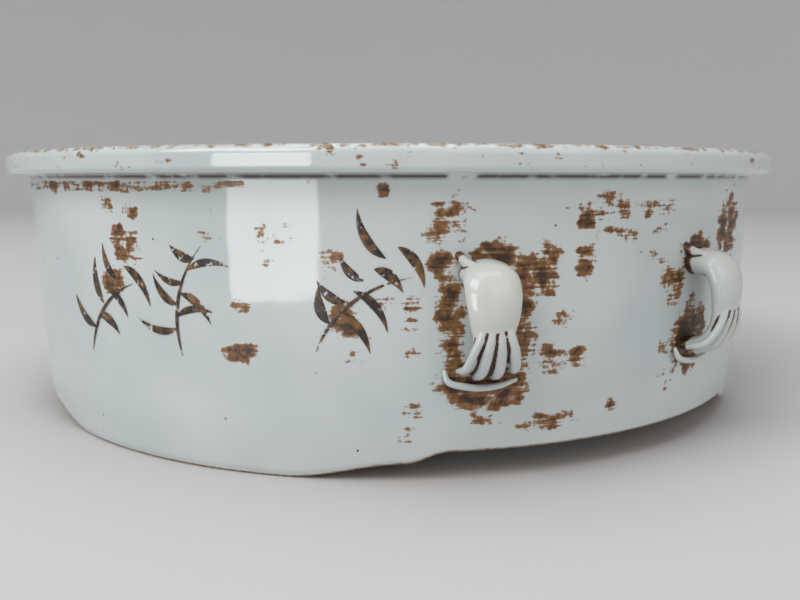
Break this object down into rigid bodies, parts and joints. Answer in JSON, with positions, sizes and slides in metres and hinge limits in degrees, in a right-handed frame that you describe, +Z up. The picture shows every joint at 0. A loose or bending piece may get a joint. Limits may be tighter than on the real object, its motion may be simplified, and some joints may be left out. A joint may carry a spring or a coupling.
{
  "type": "porcelain tureen basin",
  "caption": "Low round porcelain basin with a heavy flat lip, bracket feet and pierced finger-citron lugs.",
  "frame": {"origin": "centre of the plane that the feet stand on", "axes": "+Z up, +X midway between one pair of lugs"},
  "size_m": [0.241, 0.24, 0.0738],
  "materials": {
    "glaze": "glossy bluish-white glaze with brown stains",
    "lug_glaze": "glossy white glaze, brown in the grooves"
  },
  "bodies": {
    "root": {"basin": "glaze", "rim_collar": "glaze", "foot_band": "glaze", "lug_right_near": "lug_glaze", "leaf_edge_right_near": "lug_glaze", "lug_right_far": "lug_glaze", "leaf_edge_right_far": "lug_glaze", "lug_left_far": "lug_glaze", "leaf_edge_left_far": "lug_glaze", "lug_left_near": "lug_glaze", "leaf_edge_left_near": "lug_glaze"}
  },
  "joints": []
}
